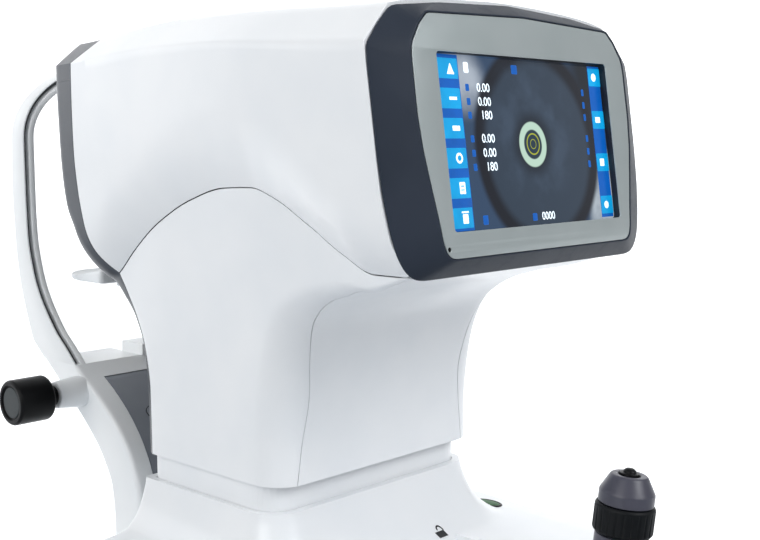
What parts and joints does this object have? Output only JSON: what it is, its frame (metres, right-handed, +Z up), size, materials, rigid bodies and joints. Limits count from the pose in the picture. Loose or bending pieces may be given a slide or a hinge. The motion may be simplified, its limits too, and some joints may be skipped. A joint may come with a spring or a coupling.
{
  "type": "autorefractor",
  "caption": "Table-top eye refractor: measuring head with tilted touch screen on a lifting neck, joystick stage sliding over a low base, hoop headrest with chin cup.",
  "frame": {"origin": "middle of the whole box's underside, on the table", "axes": "+X to the operator's right, +Y towards the patient, +Z up"},
  "size_m": [0.276, 0.484, 0.4548],
  "materials": {
    "white_shell": "satin moulded",
    "white_headrest": "satin moulded",
    "foot_rubber": "matte",
    "base_steel": "satin",
    "bare_steel": "brushed",
    "cast_alloy": "machined",
    "ground_rod": "ground",
    "black_plastic": "fine texture",
    "panel_grey": "fine texture",
    "rest_silicone": "matte",
    "knob_black": "knurled",
    "bearing_grey": "anodised",
    "lamp_green": "clear tinted",
    "motor_black": "satin",
    "belt_rubber": "matte",
    "grip_slate": "satin",
    "ring_black": "ribbed",
    "thermal_paper": "matte",
    "trim_grey": "satin",
    "panel_dark": "fine texture",
    "frame_charcoal": "satin",
    "bezel_grey": "satin",
    "screen_glass": "polished",
    "bush_bronze": "machined",
    "lens_glass": "coated"
  },
  "bodies": {
    "base": {"feet": "foot_rubber", "base_tray": "base_steel", "base_cover": "white_shell", "bed_plate": "bare_steel", "rail_blocks": "cast_alloy", "fore_rails": "ground_rod", "power_supply": "base_steel", "power_inlet": "black_plastic", "switch_frame": "black_plastic", "pedestal": "white_headrest", "pedestal_panel": "panel_grey", "panel_cap": "panel_grey", "chin_column": "white_headrest", "hoop": "white_headrest", "forehead_pad": "rest_silicone", "knob_boss": "white_headrest"},
    "carriage": {"carriage_plate": "cast_alloy", "fore_bearings": "bearing_grey", "side_blocks": "cast_alloy", "side_rails": "ground_rod"},
    "stage": {"stage_cover": "white_shell", "stage_plate": "cast_alloy", "side_bearings": "bearing_grey", "collar": "white_shell", "pilot_ring": "black_plastic", "pilot_lens": "lamp_green", "lift_rods": "ground_rod", "lift_motor": "motor_black", "lift_belt": "belt_rubber", "stick_socket": "black_plastic", "printer": "black_plastic"},
    "head": {"hood": "white_shell", "side_panel_left": "white_shell", "side_panel_right": "white_shell", "front_cover": "white_shell", "trim_band": "trim_grey", "patient_panel": "panel_dark", "screen_frame": "frame_charcoal", "bezel": "bezel_grey", "touch_glass": "screen_glass", "display_module": "base_steel", "head_chassis": "cast_alloy", "lift_bushings": "bush_bronze", "optics_barrel": "panel_dark", "front_lens": "lens_glass", "camera_unit": "panel_dark"},
    "screw": {"lead_screw": "ground_rod"},
    "lock": {"lock_knob": "white_shell"},
    "gimbal": {"stick_gimbal": "cast_alloy"},
    "stick": {"stick_shaft": "ground_rod", "stick_grip": "grip_slate"},
    "ring": {"elevation_ring": "ring_black"},
    "button": {"measure_button": "ring_black"},
    "roll": {"paper_roll": "thermal_paper"},
    "door": {"printer_door": "white_shell"},
    "rocker": {"switch_rocker": "black_plastic"},
    "chin": {"chin_post": "bare_steel", "chin_cup": "rest_silicone"},
    "knob": {"knob_shaft": "ground_rod", "height_knob": "knob_black"}
  },
  "joints": [
    {"name": "stage_fore", "type": "slide", "parent": "base", "child": "carriage", "axis": [0, 1, 0], "range_m": [-0.018, 0.018]},
    {"name": "stage_side", "type": "slide", "parent": "carriage", "child": "stage", "axis": [1, 0, 0], "range_m": [-0.04, 0.04]},
    {"name": "head_lift", "type": "slide", "parent": "stage", "child": "head", "axis": [0, 0, 1], "range_m": [-0.015, 0.015]},
    {"name": "screw_turn", "type": "hinge", "parent": "stage", "child": "screw", "pos_m": [0, 0.006, 0.2], "axis": [0, 0, 1], "range_deg": [-541, 541]},
    {"name": "lock_turn", "type": "hinge", "parent": "stage", "child": "lock", "pos_m": [0.029, -0.104, 0.11], "axis": [0, 0, 1], "range_deg": [0, 90]},
    {"name": "stick_fore", "type": "hinge", "parent": "stage", "child": "gimbal", "pos_m": [0.061, -0.191, 0.092], "axis": [1, 0, 0], "range_deg": [-15, 15]},
    {"name": "stick_side", "type": "hinge", "parent": "gimbal", "child": "stick", "pos_m": [0.061, -0.191, 0.092], "axis": [0, 0.9973, 0.074], "range_deg": [-15, 15]},
    {"name": "ring_turn", "type": "hinge", "parent": "stick", "child": "ring", "pos_m": [0.061, -0.191, 0.092], "axis": [0.074, -0.0738, 0.9945], "range_deg": [-541, 541]},
    {"name": "measure_press", "type": "slide", "parent": "stick", "child": "button", "axis": [-0.074, 0.0738, -0.9945], "range_m": [0, 0.002], "stiffness_N_per_m": 900},
    {"name": "roll_turn", "type": "hinge", "parent": "stage", "child": "roll", "pos_m": [-0.066, -0.192, 0.087], "axis": [1, 0, 0], "continuous": true},
    {"name": "door_open", "type": "hinge", "parent": "stage", "child": "door", "pos_m": [-0.066, -0.2385, 0.077], "axis": [1, 0, 0], "range_deg": [0, 85]},
    {"name": "power_switch", "type": "hinge", "parent": "base", "child": "rocker", "pos_m": [0.114, -0.12, 0.038], "axis": [0, 0, 1], "range_deg": [-10, 0]},
    {"name": "chin_lift", "type": "slide", "parent": "base", "child": "chin", "axis": [0, 0, 1], "range_m": [-0.034, 0.031]},
    {"name": "height_turn", "type": "hinge", "parent": "base", "child": "knob", "pos_m": [-0.1, 0.159, 0.194], "axis": [1, 0, 0], "range_deg": [-250, 228]}
  ],
  "couplings": [
    {"joint": "screw_turn", "follows": "head_lift", "rad_per_m": 628.32},
    {"joint": "ring_turn", "follows": "head_lift", "rad_per_m": 628.32},
    {"joint": "height_turn", "follows": "chin_lift", "rad_per_m": 125}
  ]
}
